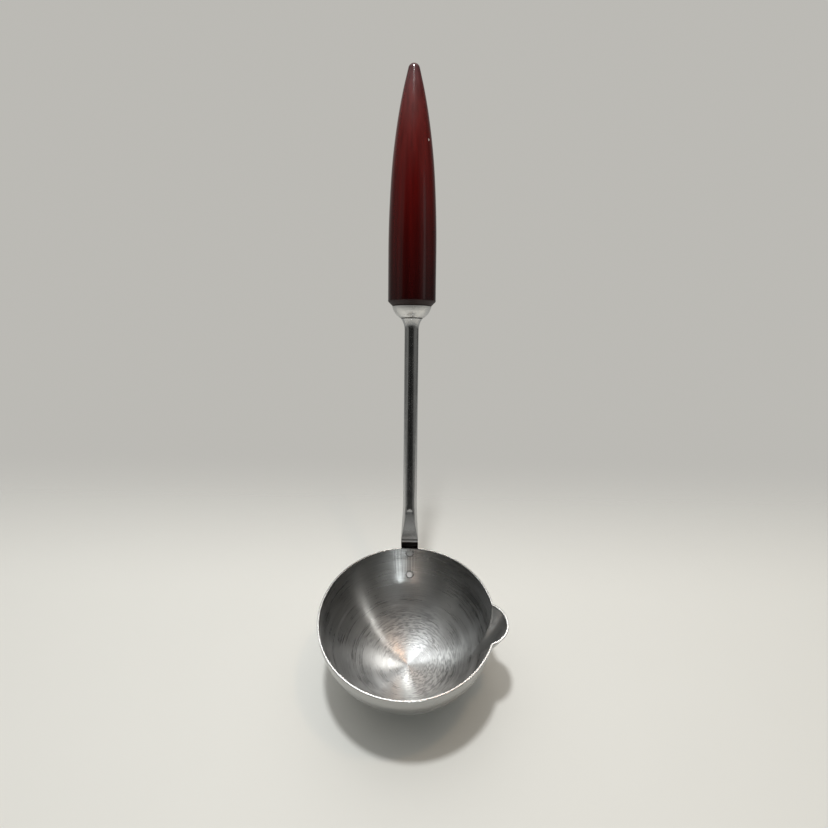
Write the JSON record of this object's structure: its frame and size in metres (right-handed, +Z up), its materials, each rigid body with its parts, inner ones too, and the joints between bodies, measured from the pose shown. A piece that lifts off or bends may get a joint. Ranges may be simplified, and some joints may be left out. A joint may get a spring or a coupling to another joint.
{
  "type": "pouring ladle",
  "caption": "Kitchen pouring ladle: round steel bowl with a side lip, a leaning rod stem riveted behind it, a bright cup ferrule and a dark red bullet-shaped handle.",
  "frame": {"origin": "the bowl's lowest point, on the bowl's axis", "axes": "+Z up along the bowl's axis with the rim level, +Y backwards to the side the handle rises from, +X to the side of the pouring lip"},
  "size_m": [0.094, 0.2156, 0.265],
  "materials": {
    "bowl_steel": "satin, spun rings with light use scratches",
    "stem_steel": "polished",
    "rivet_steel": "polished flush",
    "ferrule_metal": "worn bright plating",
    "handle_red": "gloss, slightly translucent dark red",
    "cement": "matte"
  },
  "bodies": {
    "root": {"bowl": "bowl_steel", "stem": "stem_steel", "rivet_upper": "rivet_steel", "rivet_lower": "rivet_steel", "ferrule": "ferrule_metal", "handle": "handle_red", "tang_cement": "cement"}
  },
  "joints": []
}
